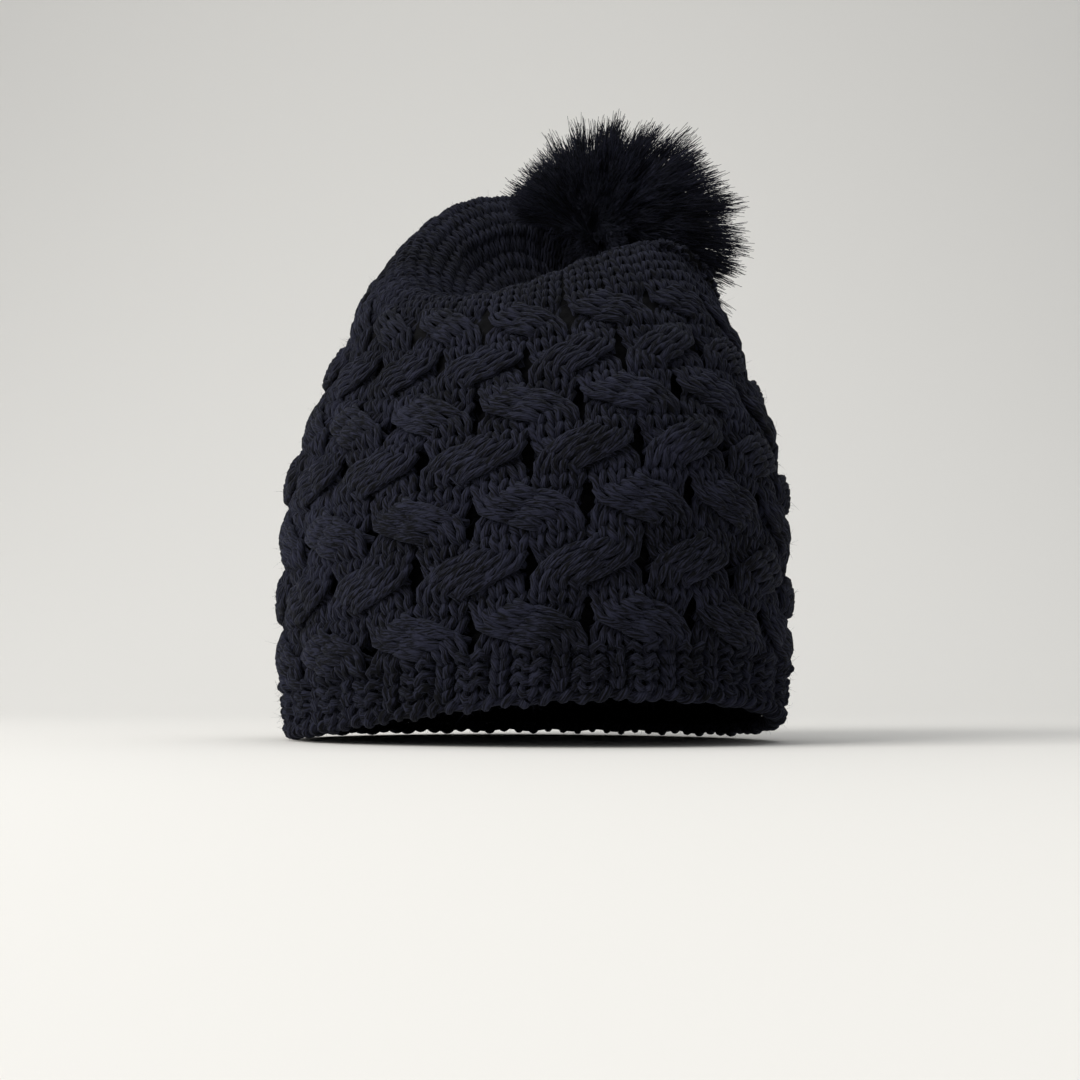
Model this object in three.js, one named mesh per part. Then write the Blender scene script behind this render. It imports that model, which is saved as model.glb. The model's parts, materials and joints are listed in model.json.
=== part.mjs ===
// A cable-knit beanie with a ribbed hem, a gathered, slouched crown and a yarn pom-pom.
// Millimetres, +Z up. The origin is the centre of the head opening, in the plane of the hem's
// lowest edge. -Y is the wearer's front, +X the wearer's left.
import * as THREE from "three";
import { mergeVertices } from "three/addons/utils/BufferGeometryUtils.js";

// ---- Driving dimensions ----
const HEM = { x: 93, y: 113 }; // half width and half depth of the hem, outside
const HEM_LIFT = { height: 15, angle: 256, spread: 1.18 }; // the hem rides up over the forehead
const RIDGE = { x: 67, y: 57, centreX: 9, centreY: -1 }; // the crown's highest line, seen from above
const RIDGE_LOW = 168; // height of the ridge at its lowest
const BACK_FOLD = { rise: 60, angle: 80, sharpness: 2.6 }; // the crown's fold stands highest at the back
const FRONT_LIP = { rise: 24, angle: 285, sharpness: 7 }; // a lower fold stands in front of the pom-pom
const VALLEY = 11; // how far the crown dips between its ridge and its gathered centre
const GATHER = new THREE.Vector3(18, -8, 172); // centre of the hole that the last row closes to
const GATHER_HOLE = 6; // radius of that hole
const FABRIC = { hem: 9, rib: 10, body: 11, crown: 7 }; // thickness of the knitting
const CAST_ON_HEIGHT = 5;
const RIB_HEIGHT = 18.5;
const CABLE_BANDS = [0.42, 0.64, 0.86]; // where each band of cables ends, as a share of the ridge's height
const RIDGE_END = 0.76; // where the crown turns down into its hollow, as a share of a meridian
const BAND_GAP = 0.003; // the gap between two bands, as a share of a meridian
const GAP = 0.35; // clearance between neighbouring pieces
const POM = { centre: new THREE.Vector3(42, -13, 209.5), radius: 38 };
const POM_TIE = new THREE.Vector3(24, -10, 200); // where all the strands are tied
const POM_SWING = { sway: 55, nodBack: 8, nodForward: 14 }; // degrees of flop that the crown leaves room for
const POM_ROOM = 3.2; // clearance between the crown and the swinging pom-pom
const YARN = { seam: 1.3, gather: 1.3, tie: 1.5, attachment: 1.3 }; // yarn radii
const AROUND = 48; // facets round the hat

const YARN_COLOUR = "#11131d";
const degrees = THREE.MathUtils.degToRad;
const lerp = THREE.MathUtils.lerp;
const up = new THREE.Vector3(0, 0, 1);

// ---- The hat's surface ----
// A fold's share of its full height at an angle round the hat.
function fold(angle, shape) {
  const facing = (1 + Math.cos(angle - degrees(shape.angle))) / 2;
  return shape.rise * facing ** shape.sharpness;
}

function ridgeHeight(angle) {
  return RIDGE_LOW + fold(angle, BACK_FOLD) + fold(angle, FRONT_LIP);
}

function hemHeight(angle) {
  let turn = angle - degrees(HEM_LIFT.angle);
  turn = Math.atan2(Math.sin(turn), Math.cos(turn));
  const share = Math.cos(Math.min(Math.abs(turn) / HEM_LIFT.spread, Math.PI / 2));
  return HEM_LIFT.height * share * share;
}

// A point of a wall ring: blend 0 is as wide as the hem, and 1 as wide as the ridge.
function wallPoint(angle, blend, heightShare) {
  const x = RIDGE.centreX * blend + lerp(HEM.x, RIDGE.x, blend) * Math.cos(angle);
  const y = RIDGE.centreY * blend + lerp(HEM.y, RIDGE.y, blend) * Math.sin(angle);
  return new THREE.Vector3(x, y, lerp(hemHeight(angle), ridgeHeight(angle), heightShare));
}

// A point of a crown ring: inward 0 is at the ridge, and 1 at the gathered hole's edge.
function crownPoint(angle, inward, fallShare, dip) {
  const outer = wallPoint(angle, 1, 1);
  const inner = new THREE.Vector3(Math.cos(angle), Math.sin(angle), 0).multiplyScalar(GATHER_HOLE);
  inner.add(GATHER);
  const point = outer.clone().lerp(inner, inward);
  point.z = lerp(outer.z, GATHER.z, fallShare) - dip * VALLEY;
  return point;
}

// The outside of the hat in one plane, from the hem up over the ridge to the gathered hole.
function meridian(angle) {
  const points = [
    wallPoint(angle, 0.03, 0),
    wallPoint(angle, 0, 0.1),
    wallPoint(angle, 0, 0.3),
    wallPoint(angle, 0.06, 0.52),
    wallPoint(angle, 0.33, 0.7),
    wallPoint(angle, 0.62, 0.84),
    wallPoint(angle, 0.86, 0.95),
    crownPoint(angle, 0.1, 0, 0),
    crownPoint(angle, 0.3, 0.12, 0.35),
    crownPoint(angle, 0.55, 0.45, 0.9),
    crownPoint(angle, 0.8, 0.85, 0.8),
    crownPoint(angle, 1, 1, 0.1),
  ];
  return new THREE.CatmullRomCurve3(points, false, "centripetal");
}

// Where the pom-pom's centre goes as it sways over towards the wearer's right, and nods forwards
// and back, about the gathered hole.
function pomCentres() {
  const centres = [];
  const steps = 6;
  for (let i = 0; i <= steps; i += 1) {
    for (let j = 0; j <= steps; j += 1) {
      const arm = POM.centre.clone().sub(GATHER);
      arm.applyAxisAngle(new THREE.Vector3(0, -1, 0), degrees((POM_SWING.sway * i) / steps));
      arm.applyAxisAngle(new THREE.Vector3(1, 0, 0), degrees(lerp(-POM_SWING.nodBack, POM_SWING.nodForward, j / steps)));
      centres.push(arm.add(GATHER));
    }
  }
  return centres;
}

const swungCentres = pomCentres();

// The pom-pom presses the fabric away wherever it lies.
function pressedByPom(point) {
  const reach = POM.radius + POM_ROOM;
  const rounds = 4; // pressed by one place of the pom-pom, a point can land in another
  for (let round = 0; round < rounds; round += 1) {
    for (const centre of swungCentres) {
      const away = point.clone().sub(centre);
      if (away.length() < reach) point.copy(centre).addScaledVector(away.normalize(), reach);
    }
  }
  return point;
}

// Every surface function below works on a fixed set of meridians.
const meridians = Array.from({ length: AROUND }, (_, k) => meridian((k * 2 * Math.PI) / AROUND));

function outsidePoint(k, share) {
  const curve = meridians[(k + AROUND) % AROUND];
  return pressedByPom(curve.getPoint(THREE.MathUtils.clamp(share, 0, 1)));
}

function outwardNormal(k, share) {
  const step = 0.01;
  const round = outsidePoint(k + 1, share).sub(outsidePoint(k - 1, share));
  const along = outsidePoint(k, share + step).sub(outsidePoint(k, share - step));
  return round.cross(along).normalize();
}

// The way from the outside to the inside of the fabric: square to it, but straight down
// at the gathered hole, so that the hole keeps its width.
function inwardDirection(k, share) {
  const straight = THREE.MathUtils.smoothstep(share, 0.85, 0.98);
  return outwardNormal(k, share).lerp(up, straight).normalize().negate();
}

// The share of a meridian at which it reaches a height on its way up.
function shareAtHeight(k, height) {
  let low = 0;
  let high = 0.6;
  while (high - low > 1e-4) {
    const middle = (low + high) / 2;
    if (outsidePoint(k, middle).z < height) low = middle;
    else high = middle;
  }
  return low;
}

function heightOfBand(k, fraction) {
  const angle = (k * 2 * Math.PI) / AROUND;
  return lerp(hemHeight(angle), ridgeHeight(angle), fraction);
}

// ---- Closed solids ----
// Builds a closed mesh from corner points, sharing equal ones and dropping empty triangles.
function closedMesh(corners) {
  const geometry = new THREE.BufferGeometry().setFromPoints(corners);
  const merged = mergeVertices(geometry, 1e-4);
  const index = merged.getIndex().array;
  const kept = [];
  for (let i = 0; i < index.length; i += 3) {
    const [a, b, c] = [index[i], index[i + 1], index[i + 2]];
    if (a !== b && b !== c && c !== a) kept.push(a, b, c);
  }
  merged.setIndex(kept);
  merged.computeVertexNormals();
  return merged;
}

// A ring made of closed cross-sections, joined one to the next and the last to the first.
// Each four-sided face is split along one diagonal. The second half of the faces take the other
// diagonal, so that the end face of one band and the start face of the next are split alike.
function ringSolid(sections) {
  const corners = [];
  const count = sections[0].length;
  sections.forEach((here, i) => {
    const next = sections[(i + 1) % sections.length];
    for (let j = 0; j < count; j += 1) {
      const k = (j + 1) % count;
      if (j < count / 2) corners.push(here[j], next[j], next[k], here[j], next[k], here[k]);
      else corners.push(here[j], next[j], here[k], next[j], next[k], here[k]);
    }
  });
  return closedMesh(corners);
}

// A solid through a row of closed outlines, from a first point to a last point.
function loftSolid(first, outlines, last) {
  const corners = [];
  const count = outlines[0].length;
  for (let j = 0; j < count; j += 1) {
    const k = (j + 1) % count;
    corners.push(first, outlines[0][k], outlines[0][j]);
    for (let i = 0; i + 1 < outlines.length; i += 1) {
      const [low, high] = [outlines[i], outlines[i + 1]];
      corners.push(low[j], low[k], high[k], low[j], high[k], high[j]);
    }
    const top = outlines[outlines.length - 1];
    corners.push(top[j], top[k], last);
  }
  return closedMesh(corners);
}

// A yarn of round section along a smooth line through points.
function yarnAlong(points, radius, steps, sides) {
  const outline = new THREE.Shape();
  for (let i = 0; i < sides; i += 1) {
    const turn = (i * 2 * Math.PI) / sides;
    const [x, y] = [radius * Math.cos(turn), radius * Math.sin(turn)];
    if (i === 0) outline.moveTo(x, y);
    else outline.lineTo(x, y);
  }
  outline.closePath();
  const path = new THREE.CatmullRomCurve3(points);
  const options = { steps, bevelEnabled: false, extrudePath: path };
  const geometry = new THREE.ExtrudeGeometry(outline, options);
  geometry.deleteAttribute("uv");
  geometry.deleteAttribute("normal");
  return mergeVertices(geometry, 1e-4);
}

// ---- The knitted pieces ----
// One band of the hat between two lines, thick fabric with flat edges.
// start and end give the share of a meridian, and thickness the fabric's at each. The band stops
// a gap short of its end, but its end face lies the way that the next band's first face does.
function knittedBand(start, end, thicknessStart, thicknessEnd, levels) {
  const sections = [];
  for (let k = 0; k < AROUND; k += 1) {
    const outside = [];
    const inside = [];
    for (let i = 0; i <= levels; i += 1) {
      const share = lerp(start(k), end(k), i / levels);
      const thickness = lerp(thicknessStart, thicknessEnd, i / levels);
      const gap = i === levels ? BAND_GAP : 0;
      const point = outsidePoint(k, share - gap);
      outside.push(point);
      inside.unshift(inwardDirection(k, share).multiplyScalar(thickness).add(point));
    }
    sections.push([...outside, ...inside]);
  }
  return ringSolid(sections);
}

// The bottom rim: its underside is flat, so the hat can stand on it where the hem isn't lifted.
function castOnEdge() {
  const sections = [];
  for (let k = 0; k < AROUND; k += 1) {
    const bottom = outsidePoint(k, 0);
    const inward = new THREE.Vector3(-bottom.x, -bottom.y, 0).normalize();
    const at = (depth, height) => bottom.clone().addScaledVector(inward, depth).setZ(bottom.z + height);
    const round = 2; // rounding of the rim's two lower corners
    const top = CAST_ON_HEIGHT - GAP;
    const tall = [at(round, 0), at(0, round), at(0, top), at(FABRIC.hem, top), at(FABRIC.hem, round)];
    sections.push([...tall, at(FABRIC.hem - round, 0)]);
  }
  return ringSolid(sections);
}

function ribbedBrim() {
  const sections = [];
  const levels = 3;
  for (let k = 0; k < AROUND; k += 1) {
    const base = heightOfBand(k, 0);
    const outside = [];
    const inside = [];
    for (let i = 0; i <= levels; i += 1) {
      const height = base + lerp(CAST_ON_HEIGHT, RIB_HEIGHT - GAP, i / levels);
      const point = outsidePoint(k, shareAtHeight(k, height)).setZ(height);
      const inward = new THREE.Vector3(-point.x, -point.y, 0).normalize();
      outside.push(point);
      inside.unshift(point.clone().addScaledVector(inward, FABRIC.rib));
    }
    sections.push([...outside, ...inside]);
  }
  return ringSolid(sections);
}

function bodyStart(k) {
  return shareAtHeight(k, heightOfBand(k, 0) + RIB_HEIGHT);
}

function cableBandEnd(k, band) {
  return shareAtHeight(k, heightOfBand(k, CABLE_BANDS[band]));
}

function cableBand(band) {
  const start = band === 0 ? bodyStart : (k) => cableBandEnd(k, band - 1);
  return knittedBand(start, (k) => cableBandEnd(k, band), FABRIC.body, FABRIC.body, 4);
}

function crownRidge() {
  const start = (k) => cableBandEnd(k, CABLE_BANDS.length - 1);
  return knittedBand(start, () => RIDGE_END, FABRIC.body, FABRIC.crown, 9);
}

function crownHollow() {
  return knittedBand(() => RIDGE_END, () => 1, FABRIC.crown, FABRIC.crown, 10);
}

// The seam runs up the inside of the back, just clear of the fabric.
function backSeamYarn() {
  const back = AROUND / 4;
  const clear = FABRIC.body + 3 * GAP + YARN.seam;
  const points = [];
  const count = 10;
  for (let i = 0; i < count; i += 1) {
    const share = lerp(0.05, 0.56, i / (count - 1));
    points.push(inwardDirection(back, share).multiplyScalar(clear).add(outsidePoint(back, share)));
  }
  return yarnAlong(points, YARN.seam, 30, 8);
}

// ---- Yarns and knots in the crown ----
function yarnRing(centre, ringRadius, yarnRadius, normal) {
  const geometry = new THREE.TorusGeometry(ringRadius, yarnRadius, 10, 28);
  geometry.deleteAttribute("uv");
  geometry.deleteAttribute("normal");
  const turn = new THREE.Quaternion().setFromUnitVectors(new THREE.Vector3(0, 0, 1), normal);
  geometry.applyQuaternion(turn);
  geometry.translate(centre.x, centre.y, centre.z);
  return mergeVertices(geometry, 1e-4);
}

function knot(centre, size, yarnRadius) {
  const geometry = new THREE.TorusKnotGeometry(size, yarnRadius, 48, 8);
  geometry.deleteAttribute("uv");
  geometry.deleteAttribute("normal");
  geometry.translate(centre.x, centre.y, centre.z);
  return mergeVertices(geometry, 1e-4);
}

const below = (distance) => GATHER.clone().addScaledVector(up, -distance);
const ATTACHMENT_KNOT = { size: 2.6, reach: 5.2 }; // radius of its turns, and clear radius round it
const GATHER_RING = { radius: 6.2, depth: 12 }; // the drawn-up yarn, just under the hole's edge
const ANCHOR_DEPTH = 22; // the inner knot's distance below the gathered hole
const ANCHOR_KNOT = { size: 4.4, reach: 8.5, yarn: 1.4 };

function innerAnchorYarn() {
  const points = [below(ATTACHMENT_KNOT.reach), below(9), below(ANCHOR_DEPTH - ANCHOR_KNOT.reach)];
  return yarnAlong(points, YARN.attachment, 6, 8);
}

const toTie = POM_TIE.clone().sub(GATHER).normalize();
const TIE_RING = { radius: 3.2 }; // the tie's turns round the strands

function attachmentYarn() {
  const start = GATHER.clone().addScaledVector(toTie, ATTACHMENT_KNOT.reach);
  const end = POM_TIE.clone().addScaledVector(toTie, -(YARN.tie + 0.5));
  return yarnAlong([start, start.clone().lerp(end, 0.5), end], YARN.attachment, 8, 8);
}

// ---- The pom-pom ----
const BUNDLE_INNER = 8; // the strands' bundles begin this far from the tie
const BUNDLE_GAP = degrees(2.8); // angle left open between neighbouring bundles
const POM_BANDS = [
  { from: 30, to: 68, count: 4 },
  { from: 68, to: 108, count: 6 },
  { from: 108, to: 150, count: 5 },
]; // rows of bundles, by angle from the pole that points away from the crown
const POLE_CAP = 30;

const poleTurn = new THREE.Quaternion().setFromUnitVectors(up, toTie);

function strandDirection(fromPole, round) {
  const flat = Math.sin(fromPole);
  const direction = new THREE.Vector3(flat * Math.cos(round), flat * Math.sin(round), Math.cos(fromPole));
  return direction.applyQuaternion(poleTurn);
}

// How far a strand in this direction runs from the tie to the pom-pom's outside.
function strandLength(direction) {
  const offset = POM_TIE.clone().sub(POM.centre);
  const along = offset.dot(direction);
  return -along + Math.sqrt(along * along - offset.lengthSq() + POM.radius ** 2);
}

function strandPoint(direction, share) {
  const length = lerp(BUNDLE_INNER, strandLength(direction), share);
  return direction.clone().multiplyScalar(length).add(POM_TIE);
}

// A bundle of strands: an outline of directions, widening from the tie to a domed end.
function strandBundle(outline, middle) {
  const at = (spread, share) =>
    outline.map((edge) => strandPoint(middle.clone().lerp(edge, spread).normalize(), share));
  const rings = [at(1, 0), at(1, 0.5), at(0.97, 0.94), at(0.8, 1), at(0.4, 1)];
  return loftSolid(strandPoint(middle, 0), rings, strandPoint(middle, 1));
}

function bandBundle(band, k) {
  const width = (2 * Math.PI) / band.count;
  const low = degrees(band.from) + BUNDLE_GAP / 2;
  const high = degrees(band.to) - BUNDLE_GAP / 2;
  const edgeGap = (fromPole) => BUNDLE_GAP / 2 / Math.sin(fromPole);
  const outline = [];
  const steps = 4;
  for (let i = 0; i < steps; i += 1) {
    outline.push([low, lerp(k * width + edgeGap(low), (k + 1) * width - edgeGap(low), i / steps)]);
  }
  for (let i = 0; i < steps; i += 1) {
    outline.push([lerp(low, high, i / steps), (k + 1) * width - edgeGap(lerp(low, high, i / steps))]);
  }
  for (let i = 0; i < steps; i += 1) {
    outline.push([high, lerp((k + 1) * width - edgeGap(high), k * width + edgeGap(high), i / steps)]);
  }
  for (let i = 0; i < steps; i += 1) {
    outline.push([lerp(high, low, i / steps), k * width + edgeGap(lerp(high, low, i / steps))]);
  }
  const directions = outline.map(([fromPole, round]) => strandDirection(fromPole, round)).reverse();
  return strandBundle(directions, strandDirection((low + high) / 2, (k + 0.5) * width));
}

function capBundle() {
  const edge = degrees(POLE_CAP) - BUNDLE_GAP / 2;
  const sides = 16;
  const outline = [];
  for (let i = 0; i < sides; i += 1) outline.push(strandDirection(edge, (i * 2 * Math.PI) / sides));
  return strandBundle(outline, toTie.clone());
}

// ---- The assembly ----
const yarnMaterial = new THREE.MeshStandardMaterial({ color: YARN_COLOUR, roughness: 0.95, metalness: 0 });

function addPiece(group, name, geometry) {
  const mesh = new THREE.Mesh(geometry, yarnMaterial.clone());
  mesh.name = name;
  group.add(mesh);
}

const beanie = new THREE.Group();
addPiece(beanie, "cast_on_edge", castOnEdge());
addPiece(beanie, "ribbed_brim", ribbedBrim());
CABLE_BANDS.forEach((_, band) => addPiece(beanie, `cable_band_${band + 1}`, cableBand(band)));
addPiece(beanie, "crown_ridge", crownRidge());
addPiece(beanie, "crown_hollow", crownHollow());
addPiece(beanie, "back_seam_yarn", backSeamYarn());
addPiece(beanie, "crown_gather_yarn", yarnRing(below(GATHER_RING.depth), GATHER_RING.radius, YARN.gather, up));
addPiece(beanie, "inner_anchor_yarn", innerAnchorYarn());
addPiece(beanie, "anchor_knot", knot(below(ANCHOR_DEPTH), ANCHOR_KNOT.size, ANCHOR_KNOT.yarn));
addPiece(beanie, "attachment_knot", knot(GATHER, ATTACHMENT_KNOT.size, 0.95));
addPiece(beanie, "attachment_yarn", attachmentYarn());
addPiece(beanie, "pom_tie_cord", yarnRing(POM_TIE, TIE_RING.radius, YARN.tie, toTie));

let bundleNumber = 0;
function addBundle(geometry) {
  bundleNumber += 1;
  addPiece(beanie, `pom_bundle_${String(bundleNumber).padStart(2, "0")}`, geometry);
}
addBundle(capBundle());
for (const band of POM_BANDS) {
  for (let k = 0; k < band.count; k += 1) addBundle(bandBundle(band, k));
}

export default beanie;
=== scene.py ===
import json
import math
import bpy
import numpy as np
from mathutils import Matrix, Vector


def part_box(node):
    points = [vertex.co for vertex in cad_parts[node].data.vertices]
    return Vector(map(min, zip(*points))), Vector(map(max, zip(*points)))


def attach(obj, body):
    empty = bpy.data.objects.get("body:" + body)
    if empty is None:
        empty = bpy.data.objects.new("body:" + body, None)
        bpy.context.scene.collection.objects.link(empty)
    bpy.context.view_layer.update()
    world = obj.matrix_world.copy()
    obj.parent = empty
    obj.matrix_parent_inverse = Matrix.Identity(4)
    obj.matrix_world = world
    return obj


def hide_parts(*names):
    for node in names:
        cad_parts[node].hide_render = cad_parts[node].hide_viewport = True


# The looks of a pom-pom beanie: each yarn of its cable knitting, its pom-pom, light and camera.
# Sizes are in millimetres until a mesh is made. The hat's frame is the CAD model's.

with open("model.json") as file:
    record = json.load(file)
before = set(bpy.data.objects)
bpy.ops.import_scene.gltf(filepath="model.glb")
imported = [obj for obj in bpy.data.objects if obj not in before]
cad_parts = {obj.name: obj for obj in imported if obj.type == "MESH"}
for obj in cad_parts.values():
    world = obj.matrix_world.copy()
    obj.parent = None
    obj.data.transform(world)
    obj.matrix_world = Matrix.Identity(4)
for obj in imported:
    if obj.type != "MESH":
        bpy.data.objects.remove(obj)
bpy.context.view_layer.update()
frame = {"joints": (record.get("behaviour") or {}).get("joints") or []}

MM = 0.001
FULL_TURN = 2 * math.pi
CAMERA_AZIMUTH = math.radians(-33)
CAMERA_SIDE = np.array([math.cos(CAMERA_AZIMUTH), math.sin(CAMERA_AZIMUTH), 0])
CAMERA_AHEAD = np.array([-math.sin(CAMERA_AZIMUTH), math.cos(CAMERA_AZIMUTH), 0])
random = np.random.default_rng(11)


def box_mm(node):
    low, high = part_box(node)
    return np.array(low) / MM, np.array(high) / MM


def centre_of(node):
    low, high = box_mm(node)
    return (low + high) / 2


def lerp(a, b, share):
    return a + (b - a) * share


def smooth(share):
    share = np.clip(share, 0, 1)
    return share * share * (3 - 2 * share)


def unit(vectors):
    return vectors / np.maximum(np.linalg.norm(vectors, axis=-1, keepdims=True), 1e-9)


# ---- The hat's surface ----
# The CAD model's formulas, with the back fold 5 mm and the front lip 3 mm higher than there.
JOINTS = {joint["name"]: joint for joint in frame["joints"]}
brim_low, brim_high = box_mm("ribbed_brim")
HEM = (brim_high - brim_low)[:2] / 2
HEM_LIFT = {"height": 15, "angle": 256, "spread": 1.18}
RIDGE = {"half": np.array([67, 57]), "centre": np.array([9, -1]), "low": 168}
BACK_FOLD = {"rise": 65, "angle": 80, "sharpness": 2.6}
FRONT_LIP = {"rise": 27, "angle": 285, "sharpness": 7}
VALLEY = 11  # how far the crown dips between its ridge and its gathered centre
GATHER = np.array(JOINTS["pom_nod"]["pos_m"]) / MM
GATHER_HOLE = 6
CAST_ON_HEIGHT = 5
RIB_HEIGHT = 18.5
POM_TIE = centre_of("pom_tie_cord")
POM_CENTRE = np.array([42, -13, 209.5])
POM_CLEAR = 41  # the swinging pom-pom presses the crown to about this far from its centre
SWAY = JOINTS["pom_sway"]["range_deg"][1]
NOD = [-8, 14]  # degrees of nod that the crown is pressed for, though the joint goes less far
PRESS_REACH = 110  # the fabric further than this from the gathered centre is never pressed
PRESS_STEPS = 7  # places of the pom-pom along each joint's range
PRESS_ROUNDS = 3

LINES = 360
ANGLES = np.arange(LINES) * FULL_TURN / LINES
ARC_STEPS = 320
DRAWN_STEPS = 500  # points of each line before it is divided evenly
SOFTENING = 4  # rounds of evening out, for the surface and for its normals


def fold(shape):
    facing = (1 + np.cos(ANGLES - math.radians(shape["angle"]))) / 2
    return shape["rise"] * facing ** shape["sharpness"]


def ridge_height():
    return RIDGE["low"] + fold(BACK_FOLD) + fold(FRONT_LIP)


def hem_height():
    turn = ANGLES - math.radians(HEM_LIFT["angle"])
    turn = np.abs((turn + math.pi) % FULL_TURN - math.pi)
    share = np.cos(np.minimum(turn / HEM_LIFT["spread"], math.pi / 2))
    return HEM_LIFT["height"] * share**2


def round_of(half):
    return np.stack([half[0] * np.cos(ANGLES), half[1] * np.sin(ANGLES)], axis=-1)


def wall_ring(blend, height_share):
    flat = RIDGE["centre"] * blend + round_of(lerp(HEM, RIDGE["half"], blend))
    z = lerp(hem_height(), ridge_height(), height_share)
    return np.concatenate([flat, z[:, None]], axis=-1)


def crown_ring(inward, fall_share, dip):
    outer = wall_ring(1, 1)
    hole = GATHER[:2] + round_of(np.array([GATHER_HOLE, GATHER_HOLE]))
    flat = lerp(outer[:, :2], hole, inward)
    z = lerp(outer[:, 2], GATHER[2], fall_share) - dip * VALLEY
    return np.concatenate([flat, z[:, None]], axis=-1)


def smooth_through(points, shares):
    """Centripetal Catmull-Rom curves through rows of points, at shares of their run."""
    first = 2 * points[:, :1] - points[:, 1:2]
    last = 2 * points[:, -1:] - points[:, -2:-1]
    all_points = np.concatenate([first, points, last], axis=1)
    spans = points.shape[1] - 1
    place = np.clip(shares, 0, 1) * spans
    span = np.minimum(place.astype(int), spans - 1)
    t = (place - span)[None, :, None]
    a, b, c, d = (all_points[:, span + k] for k in range(4))
    ab, bc, cd = (
        np.sqrt(np.linalg.norm(v - u, axis=-1, keepdims=True)) + 1e-6
        for u, v in ((a, b), (b, c), (c, d))
    )
    leave = ((b - a) / ab - (c - a) / (ab + bc) + (c - b) / bc) * bc
    arrive = ((c - b) / bc - (d - b) / (bc + cd) + (d - c) / cd) * bc
    square = (3 * (c - b) - 2 * leave - arrive) * t**2
    cube = (2 * (b - c) + leave + arrive) * t**3
    return b + leave * t + square + cube


def turned(arm, axis, angle):
    """Rodrigues' rotation of one vector."""
    along = axis * np.dot(axis, arm) * (1 - math.cos(angle))
    return arm * math.cos(angle) + np.cross(axis, arm) * math.sin(angle) + along


def pressed_by_pom(points):
    """The pom-pom presses the fabric away wherever it lies as it flops over."""
    near = np.linalg.norm(points - GATHER, axis=-1) < PRESS_REACH
    moved = points[near]
    centres = []
    for sway in np.linspace(0, math.radians(SWAY), PRESS_STEPS):
        for nod in np.radians(np.linspace(*NOD, PRESS_STEPS)):
            arm = turned(POM_CENTRE - GATHER, np.array([0, -1, 0]), sway)
            centres.append(turned(arm, np.array([1, 0, 0]), nod) + GATHER)
    for _ in range(PRESS_ROUNDS):
        for centre in centres:
            away = moved - centre
            length = np.linalg.norm(away, axis=-1, keepdims=True)
            inside = length < POM_CLEAR
            moved = np.where(inside, centre + away * (POM_CLEAR / length), moved)
    points[near] = moved
    return points


def softened(grid, rounds):
    """Evens out a grid that closes round the hat, and keeps its first and last row."""
    for _ in range(rounds):
        grid = (np.roll(grid, 1, axis=0) + 2 * grid + np.roll(grid, -1, axis=0)) / 4
        inner = (grid[:, :-2] + 2 * grid[:, 1:-1] + grid[:, 2:]) / 4
        grid = np.concatenate([grid[:, :1], inner, grid[:, -1:]], axis=1)
    return grid


def by_length(lines, count):
    """Each line again, with points at equal steps of its length."""
    steps = np.linalg.norm(np.diff(lines, axis=1), axis=-1)
    run = np.concatenate([np.zeros((len(lines), 1)), np.cumsum(steps, axis=1)], axis=1)
    shares = np.linspace(0, 1, count)
    result = np.empty((len(lines), count, 3))
    for i, line in enumerate(lines):
        for axis in range(3):
            result[i, :, axis] = np.interp(shares * run[i, -1], run[i], line[:, axis])
    return result


def hat_surface():
    """Lines from the hem up the walls, over the ridge and down to the gathered hole."""
    rings = [
        wall_ring(0.03, 0),
        wall_ring(0, 0.1),
        wall_ring(0, 0.3),
        wall_ring(0.06, 0.52),
        wall_ring(0.33, 0.7),
        wall_ring(0.62, 0.84),
        wall_ring(0.86, 0.95),
        crown_ring(0.1, 0, 0),
        crown_ring(0.3, 0.12, 0.35),
        crown_ring(0.55, 0.45, 0.9),
        crown_ring(0.8, 0.85, 0.8),
        crown_ring(1, 1, 0.1),
    ]
    lines = smooth_through(np.stack(rings, axis=1), np.linspace(0, 1, DRAWN_STEPS))
    lines = by_length(pressed_by_pom(lines), ARC_STEPS)
    return by_length(softened(lines, SOFTENING), ARC_STEPS)


SURFACE = hat_surface()
ROUND_STEP = (np.roll(SURFACE, -1, axis=0) - np.roll(SURFACE, 1, axis=0)) / 2
NORMALS = unit(np.cross(ROUND_STEP, np.gradient(SURFACE, axis=1)))
NORMALS = unit(softened(NORMALS, SOFTENING))
RIM_SPAN = ARC_STEPS // 3  # the rib lies within this much of each line


def share_at_rise(rise):
    """The share of each line's length at which it is this high above the hem."""
    target = SURFACE[:, 0, 2] + rise
    shares = np.linspace(0, 1, ARC_STEPS)[:RIM_SPAN]
    return np.array([np.interp(t, line[:RIM_SPAN, 2], shares) for t, line in zip(target, SURFACE)])


# ---- The knitting's layout ----
STRANDS = 30  # cable strands round the hat, half of them moving each way
STRAND_STITCHES = 3
COLUMNS = STRANDS * STRAND_STITCHES
RIB_ROWS = 3
BODY_ROWS = 43
CROSS_EVERY = 4  # rows from one cable crossing to the next
FIRST_CROSSING = 2
CROSS_REACH = 1.2  # rows over which a strand moves across, on each side of a crossing
LIFT_REACH = 1.85  # rows over which it rises over the other strand, or dips under it
CROSS_TURN = 0.62  # how far the stitches turn to follow a strand across
CROSS_SQUEEZE = 0.77  # a crossing strand's width, as a share of its full width
LAST_CROSSING_ROW = 28  # the strands run up plain from here
FRONT_CROSSING = math.radians(231.7)  # a crossing stands here, facing the camera
CABLE_LIFT = 2.6
CABLE_SINK = 1.7
LIFT_SHAPE = 1.3  # above 1, a strand comes up more suddenly at a crossing
STRAND_ROUNDING = 1.3  # how far a strand's middle stands out from its edges
STRAND_HALF = STRAND_STITCHES / 2
MIDDLE_DEPTH = 4.6  # from the surface in to the knitting's middle
CROWN_MIDDLE_DEPTH = 3.5
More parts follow.
